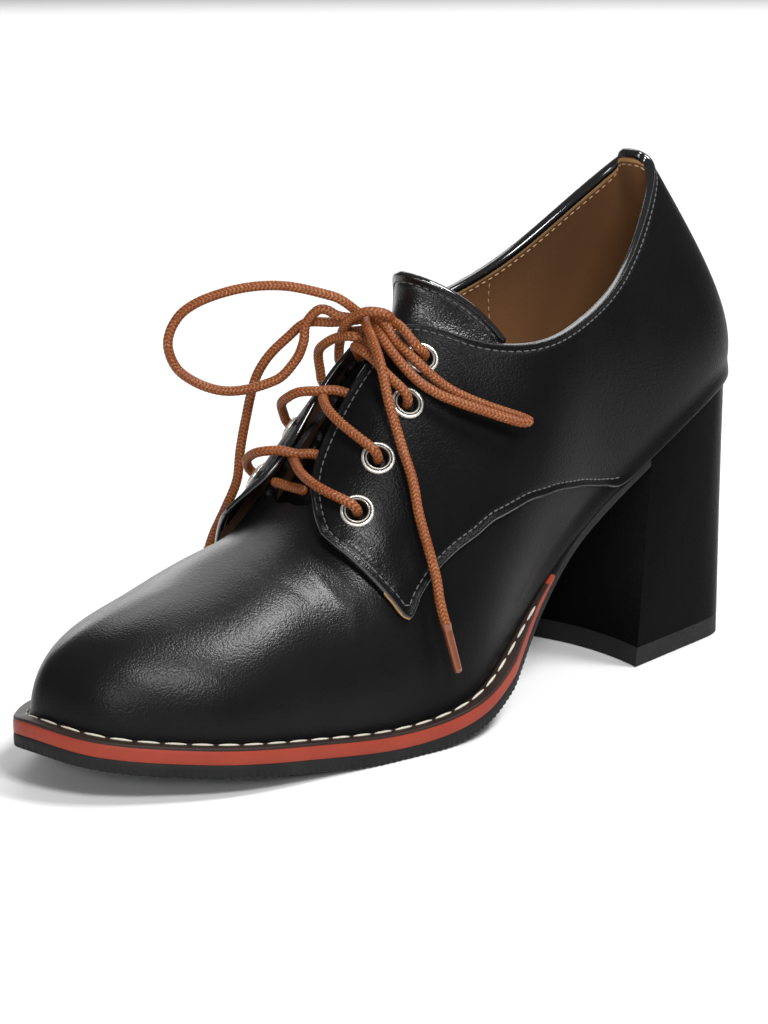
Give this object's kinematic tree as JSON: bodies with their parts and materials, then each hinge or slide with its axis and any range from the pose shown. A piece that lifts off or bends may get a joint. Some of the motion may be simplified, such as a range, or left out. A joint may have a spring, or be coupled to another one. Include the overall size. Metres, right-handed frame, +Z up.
{
  "type": "block heel lace-up shoe",
  "caption": "Leather lace-up derby shoe for the left foot with a tall block heel, welted sole with a coloured stripe, round metal eyelets and a tied round lace.",
  "frame": {"origin": "middle of the shoe's box without its free lace, on the floor it stands on", "axes": "+Z up, -Y towards the toe, +X towards the outer side of the left foot"},
  "size_m": [0.0906, 0.2364, 0.1368],
  "materials": {
    "outsole": "matte",
    "midsole": "satin",
    "welt": "matte",
    "heel": "gloss",
    "heel_toplift": "matte",
    "insole": "matte",
    "upper": "satin",
    "quarter": "satin",
    "tongue": "satin",
    "eyelet": "polished",
    "lace": "matte"
  },
  "bodies": {
    "root": {"outsole": "outsole", "midsole": "midsole", "welt": "welt", "heel": "heel", "heel_toplift": "heel_toplift", "insole": "insole", "upper": "upper", "quarter_outer": "quarter", "quarter_inner": "quarter", "tongue": "tongue", "eyelet_outer_1": "eyelet", "eyelet_outer_2": "eyelet", "eyelet_outer_3": "eyelet", "eyelet_outer_4": "eyelet", "eyelet_inner_1": "eyelet", "eyelet_inner_2": "eyelet", "eyelet_inner_3": "eyelet", "eyelet_inner_4": "eyelet", "lace_bar": "lace", "lace_cross_1": "lace", "lace_cross_2": "lace", "lace_cross_3": "lace", "lace_top_outer": "lace", "lace_top_inner": "lace", "lace_knot": "lace", "lace_loop_outer": "lace", "lace_loop_inner": "lace", "lace_end_outer": "lace", "lace_end_inner": "lace"}
  },
  "joints": []
}
